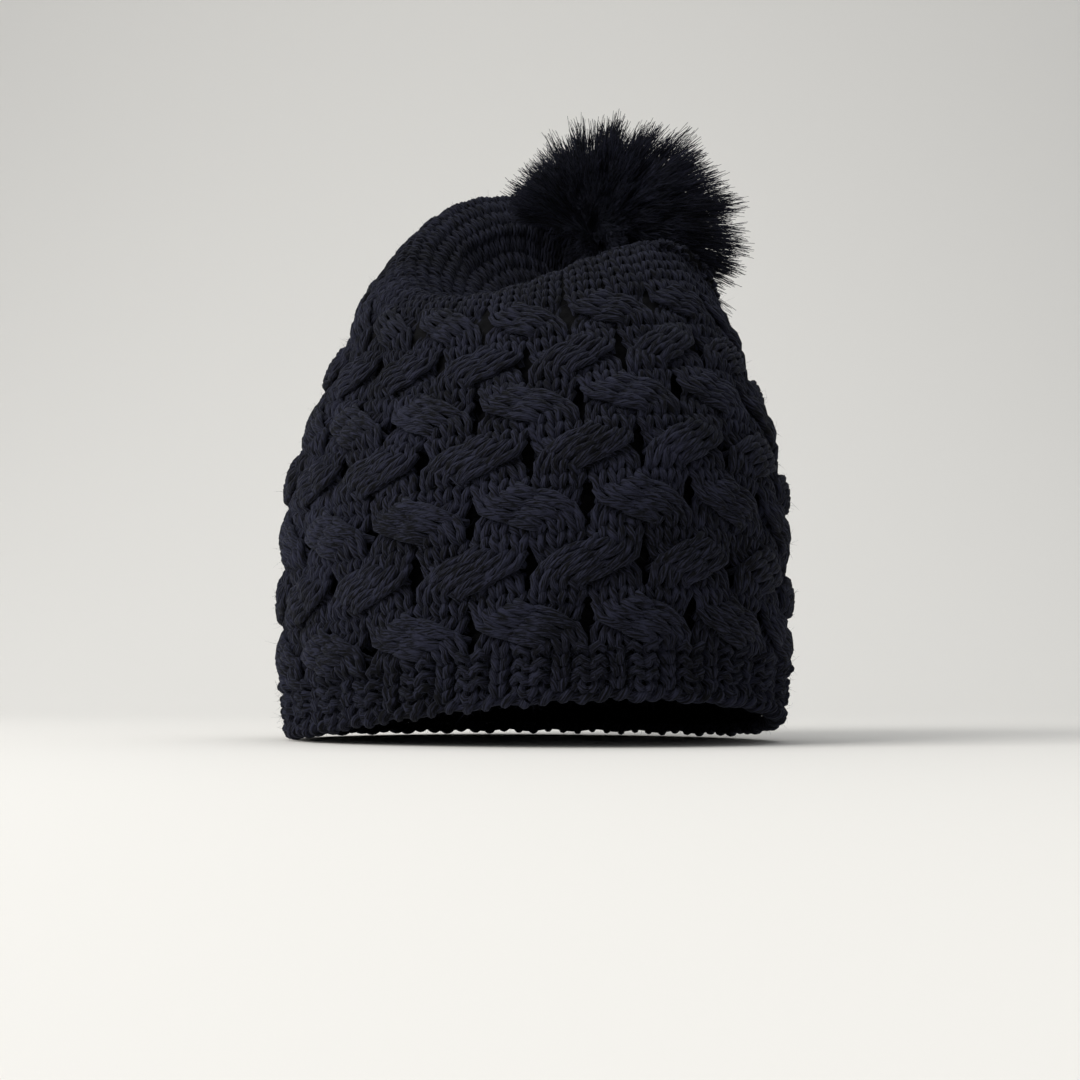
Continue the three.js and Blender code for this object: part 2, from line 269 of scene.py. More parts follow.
THINNING = {"first": 35, "rows": 5}  # where the fabric grows thinner towards the gathered hole
ROW_HEIGHT = 5.4
YARN_RADIUS = 1.62
STITCH_WIDTH = 7.2  # the width that the yarn's radius and the loops' depth are meant for
SIZE_RANGE = (0.26, 1.08)  # of the yarn, as its stitches grow narrower or wider
LOOP_DEPTH = 1.4
BEHIND_THICKNESS = 0.86  # the yarn is pressed thinner where it passes behind
ROW_SCATTER = 0.05  # unevenness of hand knitting, in rows, in stitches and in the yarn's radius
STITCH_SCATTER = 0.035
YARN_SCATTER = 0.045
WOBBLE = 0.16  # columns by which the strands wander
RIB_STAGGER = 2.0  # how far the rib's columns stand out, and the gaps between them sink

CAST_ON_SHARE = share_at_rise(CAST_ON_HEIGHT)
RIB_SHARE = share_at_rise(RIB_HEIGHT)


def round_lookup(values, angle):
    place = np.mod(angle, FULL_TURN) / FULL_TURN * len(values)
    low = place.astype(int) % len(values)
    return lerp(values[low], values[(low + 1) % len(values)], place % 1)


def grid_lookup(grid, angle, share):
    """A value of a surface grid between its lines and rows."""
    across = np.mod(angle, FULL_TURN) / FULL_TURN * len(grid)
    a = across.astype(int) % len(grid)
    b = (a + 1) % len(grid)
    along = np.clip(share, 0, 1) * (ARC_STEPS - 1)
    s = np.minimum(along.astype(int), ARC_STEPS - 2)
    f = (across % 1)[..., None]
    g = (along - s)[..., None]
    return lerp(lerp(grid[a, s], grid[b, s], f), lerp(grid[a, s + 1], grid[b, s + 1], f), g)


def angle_of_column(column):
    return FRONT_CROSSING + (column - STRAND_STITCHES) * FULL_TURN / COLUMNS


def share_of_row(angle, row):
    cast_on = round_lookup(CAST_ON_SHARE, angle)
    rib = round_lookup(RIB_SHARE, angle)
    in_rib = cast_on + (rib - cast_on) * (row + RIB_ROWS) / RIB_ROWS
    in_body = rib + (1 - rib) * row / BODY_ROWS
    return np.where(row < 0, in_rib, in_body)


def crossing_at(row):
    """The crossings passed by each row, smoothly, the last crossing's number and how near it is."""
    row = np.clip(row, 0, LAST_CROSSING_ROW)
    number = np.floor(row / CROSS_EVERY)
    offset = row - FIRST_CROSSING - number * CROSS_EVERY
    passed = number + smooth((offset / CROSS_REACH + 1) / 2)
    nearness = np.clip(1 - (offset / LIFT_REACH) ** 2, 0, 1) ** LIFT_SHAPE
    return passed, number, nearness


def wander(column, row):
    """Slow waves that don't repeat within the hat, so that no two strands are quite alike."""
    return WOBBLE * np.sin(column * 0.37 + 1.7 * np.sin(row * 0.31)) * np.sin(row * 0.43 + 2)


def knit_place(strand, across, row):
    """Angle, share and lift of a place on a strand: across in columns from the strand's middle."""
    passed, number, nearness = crossing_at(row)
    step = 0.05
    slope = (crossing_at(row + step)[0] - crossing_at(row - step)[0]) / (2 * step)
    sideways = slope * STRAND_STITCHES * STITCH_WIDTH / ROW_HEIGHT
    turn = CROSS_TURN * np.arctan(sideways)
    moves_right = strand % 2 == 0
    heading = np.where(moves_right, 1, -1)
    slot = strand + heading * passed
    spread = across * lerp(1, CROSS_SQUEEZE, nearness)
    column = STRAND_STITCHES * (slot + 0.5) + spread * np.cos(turn)
    row = row - heading * spread * np.sin(turn) * STITCH_WIDTH / ROW_HEIGHT
    angle = angle_of_column(column + wander(column, row))
    on_top = moves_right == (number % 2 == 1)
    lift = np.where(on_top, CABLE_LIFT, -CABLE_SINK) * nearness
    rounding = STRAND_ROUNDING * (1 - (across / STRAND_HALF) ** 2) * np.where(row > 0, 1, 0)
    return angle, share_of_row(angle, np.minimum(row, BODY_ROWS)), lift + rounding


# ---- Meshes from many tubes at once ----
def mesh_object(name, vertices, faces, uvs):
    """A smooth mesh of four-sided faces, with a UV for each face's corner."""
    mesh = bpy.data.meshes.new(name)
    mesh.vertices.add(len(vertices))
    mesh.vertices.foreach_set("co", (vertices * MM).astype(np.float32).ravel())
    mesh.loops.add(faces.size)
    mesh.loops.foreach_set("vertex_index", faces.astype(np.int32).ravel())
    mesh.polygons.add(len(faces))
    mesh.polygons.foreach_set("loop_start", np.arange(0, faces.size, 4, dtype=np.int32))
    mesh.polygons.foreach_set("use_smooth", np.ones(len(faces), bool))
    layer = mesh.uv_layers.new(name="yarn")
    layer.data.foreach_set("uv", uvs.astype(np.float32).ravel())
    mesh.update(calc_edges=True)
    made = bpy.data.objects.new(name, mesh)
    bpy.context.scene.collection.objects.link(made)
    return made


def carried_sides(paths, start):
    """A side direction at each point of each path, carried along it without twisting."""
    tangents = unit(np.gradient(paths, axis=1))
    side = start
    sides = []
    for i in range(paths.shape[1]):
        tangent = tangents[:, i]
        side = unit(side - tangent * np.sum(side * tangent, axis=-1, keepdims=True))
        sides.append(side)
    sides = np.stack(sides, axis=1)
    return sides, np.cross(tangents, sides)


YARN_TWIST = 0.035  # turns of the streaks round the yarn for each millimetre along it
RUN_SPREAD = 4000  # each yarn's streaks start somewhere within this length


def tubes(paths, radii, around, start):
    """Vertices, faces and UVs of round tubes along paths (tubes, points, 3).
    U runs along the yarn in millimetres from a random start, and V once round it, with a twist."""
    count, points = radii.shape
    sides, binormals = carried_sides(paths, start)
    turn = np.arange(around) * FULL_TURN / around
    ring = sides[:, :, None] * np.cos(turn)[:, None]
    ring = ring + binormals[:, :, None] * np.sin(turn)[:, None]
    vertices = (paths[:, :, None] + ring * radii[:, :, None, None]).reshape(-1, 3)
    tube = np.arange(count)[:, None, None] * points * around
    row = np.arange(points - 1)[None, :, None] * around
    j = np.arange(around)[None, None, :]
    k = (j + 1) % around
    corners = [tube + row + j, tube + row + k, tube + row + around + k, tube + row + around + j]
    faces = np.stack(np.broadcast_arrays(*corners), axis=-1).reshape(-1, 4)
    steps = np.linalg.norm(np.diff(paths, axis=1), axis=-1)
    run = np.concatenate([np.zeros((count, 1)), np.cumsum(steps, axis=1)], axis=1)
    run = run + random.uniform(0, RUN_SPREAD, (count, 1))
    low, high = run[:, :-1, None], run[:, 1:, None]
    v = np.broadcast_to(j / around, low.shape[:2] + (around,))
    u_low, u_high = np.broadcast_to(low, v.shape), np.broadcast_to(high, v.shape)
    v_next = v + 1 / around
    corners = [(u_low, v), (u_low, v_next), (u_high, v_next), (u_high, v)]
    uvs = np.stack([np.stack([u, v + u * YARN_TWIST], axis=-1) for u, v in corners], axis=-2)
    return vertices, faces, uvs.reshape(-1, 2)


def joined(parts):
    """Several (vertices, faces, uvs) as one."""
    offset = 0
    vertices, faces, uvs = [], [], []
    for part_vertices, part_faces, part_uvs in parts:
        vertices.append(part_vertices)
        faces.append(part_faces + offset)
        uvs.append(part_uvs)
        offset += len(part_vertices)
    return np.concatenate(vertices), np.concatenate(faces), np.concatenate(uvs)


def shown(made, body, material, nodes=()):
    """Finishes a piece: its material, the body that it rides and the CAD nodes that it stands for."""
    made.data.materials.append(material)
    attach(made, body)
    if nodes:
        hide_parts(*nodes)
    return made


# ---- Materials ----
def fibre_material(name, dark, light, sheen, streaks_along, streaks_round, bump):
    """Spun wool: streaks that run along the yarn, in colour and in relief."""
    material = bpy.data.materials.new(name)
    material.use_nodes = True
    nodes, links = material.node_tree.nodes, material.node_tree.links
    shader = nodes["Principled BSDF"]
    shader.inputs["Roughness"].default_value = 0.82
    shader.inputs["Specular IOR Level"].default_value = 0.1
    shader.inputs["Sheen Weight"].default_value = sheen
    shader.inputs["Sheen Roughness"].default_value = 0.45
    shader.inputs["Sheen Tint"].default_value = (0.55, 0.62, 0.85, 1)
    uv = nodes.new("ShaderNodeUVMap")
    uv.uv_map = "yarn"
    scale = nodes.new("ShaderNodeVectorMath")
    scale.operation = "MULTIPLY"
    scale.inputs[1].default_value = (streaks_along, streaks_round, 1)
    links.new(uv.outputs["UV"], scale.inputs[0])
    streaks = nodes.new("ShaderNodeTexNoise")
    streaks.inputs["Scale"].default_value = 1
    streaks.inputs["Detail"].default_value = 2
    streaks.inputs["Roughness"].default_value = 0.6
    links.new(scale.outputs["Vector"], streaks.inputs["Vector"])
    place = nodes.new("ShaderNodeTexCoord")
    patches = nodes.new("ShaderNodeTexNoise")
    patches.inputs["Scale"].default_value = 38
    patches.inputs["Detail"].default_value = 2
    links.new(place.outputs["Object"], patches.inputs["Vector"])
    both = nodes.new("ShaderNodeMix")
    both.inputs["Factor"].default_value = 0.2
    links.new(streaks.outputs["Fac"], both.inputs["A"])
    links.new(patches.outputs["Fac"], both.inputs["B"])
    ramp = nodes.new("ShaderNodeValToRGB")
    ramp.color_ramp.elements[0].position = 0.45
    ramp.color_ramp.elements[0].color = (*dark, 1)
    ramp.color_ramp.elements[1].position = 0.57
    ramp.color_ramp.elements[1].color = (*light, 1)
    links.new(both.outputs["Result"], ramp.inputs["Fac"])
    links.new(ramp.outputs["Color"], shader.inputs["Base Color"])
    relief = nodes.new("ShaderNodeBump")
    relief.inputs["Strength"].default_value = bump
    relief.inputs["Distance"].default_value = 0.9 * MM
    links.new(streaks.outputs["Fac"], relief.inputs["Height"])
    links.new(relief.outputs["Normal"], shader.inputs["Normal"])
    return material


NAVY_DARK = (0.0005, 0.0005, 0.0010)
NAVY_LIGHT = (0.0150, 0.0160, 0.0300)
KNIT_YARN = fibre_material("knit_yarn", NAVY_DARK, NAVY_LIGHT, 0.05, 0.24, 15, 1.0)
# Painted shade: the inside's yarn gets only the darkest navy and almost no sheen, darker than the
# yarn really is, so the holes through the knitting look dark.
PAINTED_SHADE_INSIDE = fibre_material("inside_yarn_painted_shade", NAVY_DARK, NAVY_DARK, 0.004, 0.24, 15, 0.4)
POM_YARN = fibre_material("pom_yarn", NAVY_DARK, NAVY_LIGHT, 0.05, 0.12, 1.5, 0.2)
FUZZ = fibre_material("yarn_fuzz", NAVY_DARK, NAVY_LIGHT, 0.10, 0.3, 1, 0.1)
TYING_YARN = fibre_material("tying_yarn", NAVY_DARK, NAVY_LIGHT, 0.07, 0.4, 9, 0.8)


# ---- The knitting ----
# Half of a stitch's path, from the yarn between two stitches up the loop's left leg:
# across in stitch widths, up in rows, and out of the fabric in loop depths.
HALF_STITCH = [
    (-0.50, -0.62, -0.90),
    (-0.22, -0.50, -0.60),
    (-0.13, -0.20, 0.50),
    (-0.27, 0.22, 1.00),
    (-0.33, 0.60, 0.15),
    (0.00, 0.93, -0.90),
]
POINTS_PER_STITCH = 12
YARN_SIDES = 8
TUCK = 1.3  # how far a strand's outermost yarn turns in behind its neighbour


def stitch_line(kinds):
    """One row's yarn through a strand's stitches: +1 is a plain stitch and -1 a purl one."""
    count = len(kinds)
    points = []
    for i, kind in enumerate(kinds):
        left = [(i + 0.5 + x, y, z * kind) for x, y, z in HALF_STITCH]
        right = [(i + 0.5 - x, y, z * kind) for x, y, z in HALF_STITCH[-2::-1]]
        if points:
            joint = points.pop()
            left[0] = (left[0][0], left[0][1], (joint[2] + left[0][2]) / 2)
        points.extend(left + right)
    line = np.array(points)[None]
    line[0, 0, 2] -= TUCK
    line[0, -1, 2] -= TUCK
    line[0, :, 0] -= count / 2
    return smooth_through(line, np.linspace(0, 1, POINTS_PER_STITCH * count + 1))[0]


def stitches_at(row):
    """Stitches left in a strand: the crown is narrowed towards the gathered hole."""
    if row < 36:
        return 3
    return 2 if row < 40 else 1


def knit_rows(rows, kinds_of):
    """The yarns of these rows, all strands round."""
    parts = []
    for row in rows:
        kinds = kinds_of(row)
        across, up, out = stitch_line(kinds).T
        strand = np.arange(STRANDS)[:, None]
        stitch = STRAND_STITCHES / len(kinds)
        level = row + 0.5 + up + random.normal(0, ROW_SCATTER, (STRANDS, 1))
        level = np.minimum(level, BODY_ROWS)
        across = across * stitch + random.normal(0, STITCH_SCATTER, (STRANDS, 1))
        angle, share, lift = knit_place(strand, across, level)
        place = grid_lookup(SURFACE, angle, share)
        normal = grid_lookup(NORMALS, angle, share)
        per_degree = np.linalg.norm(grid_lookup(ROUND_STEP, angle, share), axis=-1)
        width = per_degree * len(ANGLES) / COLUMNS * stitch
        size = np.clip(width / STITCH_WIDTH, *SIZE_RANGE)
        stagger = 0 if row >= 0 else RIB_STAGGER * np.cos(np.clip(across, -1, 1) * FULL_TURN)
        thinning = smooth((level - THINNING["first"]) / THINNING["rows"])
        depth = lerp(MIDDLE_DEPTH, CROWN_MIDDLE_DEPTH, thinning)
        height = (lift + out * LOOP_DEPTH) * np.sqrt(size) + stagger - depth
        paths = place + normal * height[..., None]
        thick = lerp(BEHIND_THICKNESS, 1, smooth((out + 0.9) / 1.6))
        radii = YARN_RADIUS * size * thick * random.normal(1, YARN_SCATTER, (STRANDS, 1))
        parts.append(tubes(paths, radii, YARN_SIDES, -normal[:, 0]))
    return joined(parts)


def body_kinds(row):
    return [1] * stitches_at(row)


def rib_kinds(row):
    return [-1, 1, -1]


def knitting():
    bands = {
        "ribbed_brim": range(-RIB_ROWS, 0),
        "cable_band_1": range(0, 8),
        "cable_band_2": range(8, 16),
        "cable_band_3": range(16, 25),
        "crown_ridge": range(25, 34),
        "crown_hollow": range(34, BODY_ROWS),
    }
    made = []
    for node, rows in bands.items():
        kinds_of = rib_kinds if node == "ribbed_brim" else body_kinds
        piece = mesh_object(f"knitted_{node}", *knit_rows(rows, kinds_of))
        made.append(shown(piece, "hat", KNIT_YARN, [node]))
    return made


INSIDE_DEPTH = 8.6  # the purl side's backs of loops close the fabric behind the cables
CROWN_INSIDE_DEPTH = 3.8  # less, where the crown folds over sharply
INSIDE_RISE = {"first": 19, "rows": 6}  # where the one turns into the other
PURL_HEIGHT = 0.8
PURL_ARCH = 0.17  # rows by which a purl bump arches over its stitch
INSIDE_STEPS = 4  # faces to a stitch, each way


def inside_of_knitting():
    """The back of the fabric: rows of purl bumps, as the inside of a knitted hat shows, coloured
    near-black as painted shade seen through the knitting's holes.
    """
    column = np.arange(COLUMNS * INSIDE_STEPS) / INSIDE_STEPS
    row = np.linspace(-RIB_ROWS, BODY_ROWS, (RIB_ROWS + BODY_ROWS) * INSIDE_STEPS + 1)
    column, row = np.meshgrid(column, row, indexing="ij")
    angle = angle_of_column(column)
    share = share_of_row(angle, row)
    wave = np.cos(FULL_TURN * (row - PURL_ARCH * np.cos(FULL_TURN * column)))
    bulge = PURL_HEIGHT * (1 + wave) * (0.75 + 0.25 * np.cos(FULL_TURN * column * 2))
    risen = smooth((row - INSIDE_RISE["first"]) / INSIDE_RISE["rows"])
    depth = lerp(INSIDE_DEPTH + bulge, CROWN_INSIDE_DEPTH + bulge / 2, risen)
    normals = grid_lookup(NORMALS, angle, share)
    points = grid_lookup(SURFACE, angle, share) - normals * depth[..., None]
    across, along = row.shape
    i = np.arange(across)[:, None] * along
    j = np.arange(along - 1)[None]
    following = (i + along) % (across * along)
    corners = [i + j, following + j, following + j + 1, i + j + 1]
    faces = np.stack(np.broadcast_arrays(*corners), axis=-1).reshape(-1, 4)
    u, v = column[:, :-1] * STITCH_WIDTH, row[:, :-1]
    du, dv = STITCH_WIDTH / INSIDE_STEPS, 1 / INSIDE_STEPS
    uvs = np.stack([u, v, u + du, v, u + du, v + dv, u, v + dv], axis=-1).reshape(-1, 2)
    piece = mesh_object("inside_of_knitting", points.reshape(-1, 3), faces, uvs)
    return shown(piece, "hat", PAINTED_SHADE_INSIDE)


CAST_ON = {"in": 4.3, "winding": 2.2, "up": 3.0, "rise": 1.3, "radius": 1.65, "scallop": 0.5}
CAST_ON_CORE = {"in": 4.6, "up": 3.2, "radius": 1.9}


def cast_on_edge():
    """The first row: a yarn wound round another, one turn to each stitch."""
    points = COLUMNS * POINTS_PER_STITCH + 1
    wind = np.linspace(0, FULL_TURN * COLUMNS, points)
    angle = wind / COLUMNS + FRONT_CROSSING
    rim = grid_lookup(SURFACE, angle, np.zeros(points))
    inward = -grid_lookup(NORMALS, angle, np.full(points, 0.02))
    inward[:, 2] = 0
    inward = unit(inward)
    scallop = CAST_ON["scallop"] * (1 - np.cos(wind / STRAND_STITCHES))
    path = rim + inward * (CAST_ON["in"] - CAST_ON["winding"] * np.cos(wind))[:, None]
    path[:, 2] += CAST_ON["up"] + scallop + CAST_ON["rise"] * np.sin(wind)
    core = rim + inward * CAST_ON_CORE["in"]
    core[:, 2] += CAST_ON_CORE["up"] + scallop
    parts = [
        tubes(path[None], np.full((1, points), CAST_ON["radius"]), YARN_SIDES, inward[:1]),
        tubes(core[None], np.full((1, points), CAST_ON_CORE["radius"]), YARN_SIDES, inward[:1]),
    ]
    piece = mesh_object("cast_on_yarn", *joined(parts))
    return shown(piece, "hat", KNIT_YARN, ["cast_on_edge"])


# ---- Fine hairs ----
HAIR_POINTS = 4
HAIR_RADIUS = 0.055
HAIR_CURL = 0.45
HAIR_SIDES = 3
HAIR_LENGTHS = (1.0, 3.4)
FUZZ_PER_BAND = 5200
FUZZ_ON_EDGE = 780
LOWEST = 0.1  # no hair reaches through what the hat stands on


def hairs(roots, directions, lengths):
    """Hairs that leave their roots along directions and curl at random."""
    count = len(roots)
    t = np.linspace(0, 1, HAIR_POINTS)[None, :, None]
    bend = random.normal(0, 1, (count, 1, 3)) * HAIR_CURL
    paths = roots[:, None] + (directions[:, None] * t + bend * t**2) * lengths[:, None, None]
    radii = HAIR_RADIUS * (1 - 0.8 * t[..., 0]) * np.ones((count, 1))
    return tubes(paths, radii, HAIR_SIDES, unit(random.normal(0, 1, (count, 3))))


def fuzz_on(piece, name, count):
    """Loose fibres that stand off a knitted piece's yarns."""
    mesh = piece.data
    co = np.empty(len(mesh.vertices) * 3, np.float32)
    mesh.vertices.foreach_get("co", co)
    co = co.reshape(-1, 3) / MM
    normals = np.empty(len(mesh.vertices) * 3, np.float32)
    mesh.vertices.foreach_get("normal", normals)
    normals = normals.reshape(-1, 3)
    chosen = random.integers(0, len(co), count)
    directions = unit(normals[chosen] + random.normal(0, 0.6, (len(chosen), 3)))
    lengths = random.uniform(*HAIR_LENGTHS, len(chosen))
    vertices, faces, uvs = hairs(co[chosen], directions, lengths)
    vertices[:, 2] = np.maximum(vertices[:, 2], LOWEST)
    return shown(mesh_object(name, vertices, faces, uvs), "hat", FUZZ)


# ---- The pom-pom ----
POM_RADIUS = 45
POM_BELOW_RADIUS = 47  # of the strands that hang beside the crown
POM_MIDDLE = np.array([39.5, -12.0, 211.5])  # of the strands' outside
POLE = unit(POM_TIE - GATHER)
# The CAD bundles' bands: degrees from the pole, and bundles in each. The last takes in the rest.
POM_BANDS = [(0, 30, 1), (30, 68, 4), (68, 108, 6), (108, 181, 5)]
BARE_FROM = math.radians(152)  # no strands grow round the attachment yarn
TUFTS = 760
FIBRES_PER_TUFT = 28
FOLD_SIDE_RISE = 0.55  # the least upward part of the strands that stand beside the back fold
PARTING = unit(-0.72 * CAMERA_AHEAD - 0.62 * CAMERA_SIDE + np.array([0, 0, -0.25]))
PARTING_WIDTH = math.radians(34)
COMBED_WITHIN = math.radians(65)  # of the parting: further off, strands aren't combed aside
FULLY_COMBED_OVER = math.radians(45)
STRAND_POINTS = 11
STRAND_SIDES = 3
DROOP = 9  # of a strand 60 mm long, at its end
DROOP_LENGTH = 60
STRAND_CURL = 2.4


def pole_frame():
    """Two directions square to the pole, turned as the CAD model's bundles are."""
    axis = np.cross([0, 0, 1], POLE)
    angle = math.acos(POLE[2])
    axis = axis / np.linalg.norm(axis)
    return turned(np.array([1.0, 0, 0]), axis, angle), turned(np.array([0, 1.0, 0]), axis, angle)


def even_directions(count):
    """Directions spread evenly over a ball."""
    i = np.arange(count) + 0.5
    z = 1 - 2 * i / count
    spin = i * math.pi * (3 - math.sqrt(5))
    flat = np.sqrt(1 - z * z)
    return np.stack([flat * np.cos(spin), flat * np.sin(spin), z], axis=-1)


def bundle_of(directions):
    """The number of the CAD bundle that each direction falls in."""
    across, beside = pole_frame()
    from_pole = np.degrees(np.arccos(np.clip(directions @ POLE, -1, 1)))
    turn = np.mod(np.arctan2(directions @ beside, directions @ across), FULL_TURN) / FULL_TURN
    number = np.zeros(len(directions), int)
    first = 0
    for low, high, count in POM_BANDS:
        inside = (from_pole >= low) & (from_pole < high)
        number[inside] = first + np.minimum((turn[inside] * count).astype(int), count - 1)
        first += count
    return number


def strand_lengths(directions):
    """From the tie to the pom-pom's outside."""
    radius = lerp(POM_RADIUS, POM_BELOW_RADIUS, smooth(-directions[:, 2] / 0.6))
    offset = POM_TIE - POM_MIDDLE
    along = directions @ offset
    return -along + np.sqrt(along**2 - offset @ offset + radius**2)


def combed(directions):
    """Strands part round the place where the tie shows."""
    cosine = np.clip(directions @ PARTING, -1, 1)
    angle = np.arccos(cosine)
    away = unit(directions - cosine[:, None] * PARTING)
    opened = PARTING_WIDTH + (math.pi - PARTING_WIDTH) * (angle / math.pi)
    amount = smooth((COMBED_WITHIN - angle) / FULLY_COMBED_OVER)
    new_angle = lerp(angle, opened, amount)[:, None]
    return unit(np.cos(new_angle) * PARTING + np.sin(new_angle) * away)


def lifted_off_fold(directions):
    """Strands on the side of the back fold stand up clear of it."""
    beside = smooth(0.35 - (directions @ CAMERA_SIDE) * 2.5)
    z = np.maximum(directions[:, 2], lerp(-1, FOLD_SIDE_RISE, beside))
    flat = unit(directions[:, :2]) * np.sqrt(1 - z**2)[:, None]
    return np.concatenate([flat, z[:, None]], axis=-1)


def tuft_directions():
    directions = even_directions(TUFTS) + random.normal(0, 0.05, (TUFTS, 3))
    directions = unit(directions)
    return directions[directions @ POLE > math.cos(BARE_FROM)]


def tuft_lines(directions, combed_directions):
    """The middle line of each tuft: it sets off as combed, and droops towards its end."""
    reach = strand_lengths(combed_directions) * random.normal(1, 0.02, len(directions))
    t = np.linspace(0, 1, STRAND_POINTS)[None, :, None]
    lines = POM_TIE + combed_directions[:, None] * (2 + (reach[:, None, None] - 2) * t)
    droop = (reach / DROOP_LENGTH)[:, None, None] ** 2 * DROOP * t**2
    curl = random.normal(0, STRAND_CURL, (len(directions), 1, 3)) * t**2
    return lines - droop * np.array([0, 0, 1]) + curl


def tuft_fibres(lines):
    """The fibres of tufts: together at the tie, and frayed apart at the cut end."""
    count, points, _ = lines.shape
    t = np.linspace(0, 1, points)[None, None, :, None]
    tangent = unit(lines[:, -1] - lines[:, 0])
    side = unit(np.cross(tangent, random.normal(0, 1, (count, 3))))
    other = np.cross(tangent, side)
    turn = random.uniform(0, FULL_TURN, (count, FIBRES_PER_TUFT, 1, 1))
    spread = np.sqrt(random.uniform(0, 1, (count, FIBRES_PER_TUFT, 1, 1)))
    width = spread * (0.6 + 0.8 * t + 2.8 * t**3)
    twist = turn + 1.6 * t
    offset = np.cos(twist) * side[:, None, None] + np.sin(twist) * other[:, None, None]
    wave = random.normal(0, 1, (count, FIBRES_PER_TUFT, 1, 3)) * np.sin(t * 9 + turn) * 0.5 * t
    crimp = random.normal(0, 0.28, (count, FIBRES_PER_TUFT, points, 3)) * t
    paths = lines[:, None] + offset * width + wave + crimp
    shorten = random.uniform(-0.1, 0.03, (count, FIBRES_PER_TUFT, 1, 1)) * t**2
    middle = lines[:, :1, None]
    paths = paths + (paths - middle) * shorten
    return paths.reshape(-1, points, 3)


def pom_strands():
    directions = tuft_directions()
    number = bundle_of(directions)
    made = []
    for bundle in range(sum(count for _, _, count in POM_BANDS)):
        own = directions[number == bundle]
        paths = tuft_fibres(tuft_lines(own, lifted_off_fold(combed(own))))
        taper = np.interp(np.linspace(0, 1, paths.shape[1]), [0, 0.7, 1], [0.13, 0.15, 0.09])
        radii = taper[None] * random.uniform(0.75, 1.25, (len(paths), 1))
        start = unit(random.normal(0, 1, (len(paths), 3)))
        node = f"pom_bundle_{bundle + 1:02d}"
        piece = mesh_object(f"strands_{node}", *tubes(paths, radii, STRAND_SIDES, start))
        made.append(shown(piece, "pom_pom", POM_YARN, [node]))
    return made


# ---- Tying yarns and knots ----
PLIES = 3


def plied(path, radius, turns):
    """A yarn of several plies twisted round each other along a path (points, 3)."""
    points = len(path)
    sides, binormals = carried_sides(path[None], unit(random.normal(0, 1, (1, 3))))
    parts = []
    for ply in range(PLIES):
        spin = (np.linspace(0, turns, points) + ply / PLIES) * FULL_TURN
        offset = sides[0] * np.cos(spin)[:, None] + binormals[0] * np.sin(spin)[:, None]
        line = path + offset * radius * 0.5
        ply_radii = np.full((1, points), radius * 0.52)
        parts.append(tubes(line[None], ply_radii, YARN_SIDES, sides[:, 0]))
    return joined(parts)


def straight(a, b, points):
    return lerp(np.array(a)[None], np.array(b)[None], np.linspace(0, 1, points)[:, None])


def ring_line(centre, radius, normal, turns, points, rise=0.0):
    normal = unit(np.array(normal, float))
    side = unit(np.cross(normal, [0.3, 0.9, 0.1]))
    other = np.cross(normal, side)
    spin = np.linspace(0, FULL_TURN * turns, points)[:, None]
    climb = np.linspace(-rise, rise, points)[:, None] * normal
    return centre + radius * (side * np.cos(spin) + other * np.sin(spin)) + climb


def knot_line(centre, size, points):
    """A trefoil knot's line: the shape of the CAD model's knots."""
    u = np.linspace(0, 2 * FULL_TURN, points)
    over = 1.5 * u
    reach = size * (2 + np.cos(over)) * 0.5
    line = [reach * np.cos(u), reach * np.sin(u), size * np.sin(over) * 0.5]
    return centre + np.stack(line, axis=-1)


SEAM_STITCHES = 36
SEAM_DEPTH = 12.6  # from the surface in to the seam, behind the fabric's back
SEAM_ZIGZAG = 0.012  # radians round the hat, to each side


def back_seam():
    """The seam's yarn goes over and over up the inside of the back."""
    low, high = box_mm("back_seam_yarn")
    back_line = SURFACE[len(SURFACE) // 4, :, 2]
    rising = np.argmax(back_line)
    shares = np.linspace(0, 1, ARC_STEPS)[:rising]
    first, last = np.interp([low[2], high[2]], back_line[:rising], shares)
    points = 500
    share = np.linspace(first, last, points)
    angle = np.full(points, math.pi / 2)
    sewn = np.linspace(0, FULL_TURN * SEAM_STITCHES, points)
    place = grid_lookup(SURFACE, angle + SEAM_ZIGZAG * np.sin(sewn), share)
    normal = grid_lookup(NORMALS, angle, share)
    path = place - normal * (SEAM_DEPTH + 0.7 * np.cos(sewn))[:, None]
    return plied(path, radius=1.15, turns=60)


GATHER_YARN_RADIUS = 1.3
KNOT_REACH = 4.6  # the attachment yarn leaves its knot this far from the knot's middle
TIE_REACH = 1.5  # and ends this far short of the tie's


